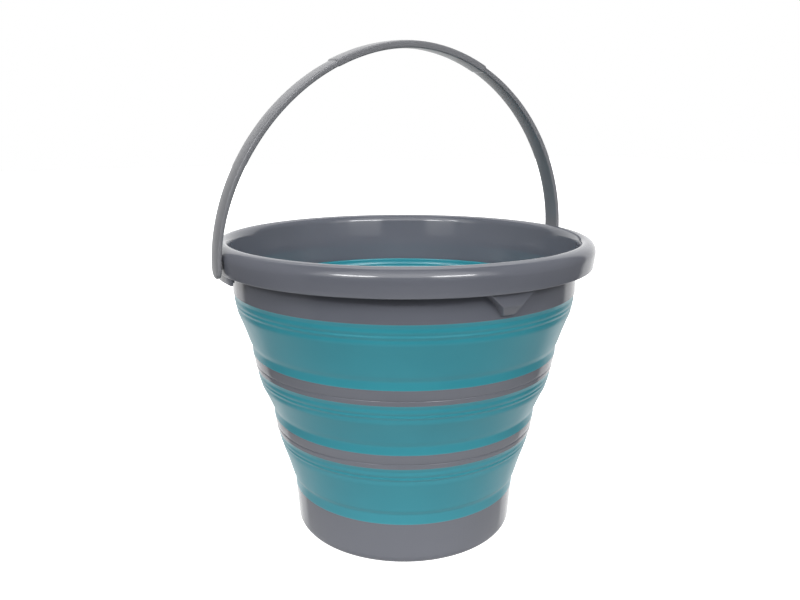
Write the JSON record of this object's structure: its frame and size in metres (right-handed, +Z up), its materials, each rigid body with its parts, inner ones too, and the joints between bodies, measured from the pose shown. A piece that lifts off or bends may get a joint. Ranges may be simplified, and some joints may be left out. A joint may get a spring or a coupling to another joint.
{
  "type": "collapsible bucket",
  "caption": "Collapsible camp bucket with hard rings joined by soft folding wall panels, a rolled rim with a pouring spout, and an arched carry handle.",
  "frame": {"origin": "centre of the open bucket's footprint, on the underside of the base", "axes": "+Z up along the bucket's axis, the spout points to -Y, the handle's pivot axis lies along X"},
  "size_m": [0.3296, 0.3188, 0.4122],
  "materials": {
    "gray_plastic": "satin moulded, dark gray",
    "teal_rubber": "satin thermoplastic rubber, teal"
  },
  "bodies": {
    "base": {"base_cup": "gray_plastic", "lower_wall_panel": "teal_rubber"},
    "lower_stage": {"lower_hoop": "gray_plastic", "middle_wall_panel": "teal_rubber"},
    "middle_stage": {"upper_hoop": "gray_plastic", "upper_wall_panel": "teal_rubber"},
    "rim": {"rim_frame": "gray_plastic"},
    "handle": {"carry_handle": "gray_plastic"}
  },
  "joints": [
    {"name": "lower_fold", "type": "slide", "parent": "base", "child": "lower_stage", "axis": [0, 0, -1], "range_m": [0, 0.074], "deforming": ["lower_wall_panel"]},
    {"name": "middle_fold", "type": "slide", "parent": "lower_stage", "child": "middle_stage", "axis": [0, 0, -1], "range_m": [0, 0.056], "deforming": ["middle_wall_panel"]},
    {"name": "upper_fold", "type": "slide", "parent": "middle_stage", "child": "rim", "axis": [0, 0, -1], "range_m": [0, 0.067], "deforming": ["upper_wall_panel"]},
    {"name": "handle_swing", "type": "hinge", "parent": "rim", "child": "handle", "pos_m": [0, 0, 0.243], "axis": [1, 0, 0], "range_deg": [-104, 96]}
  ]
}
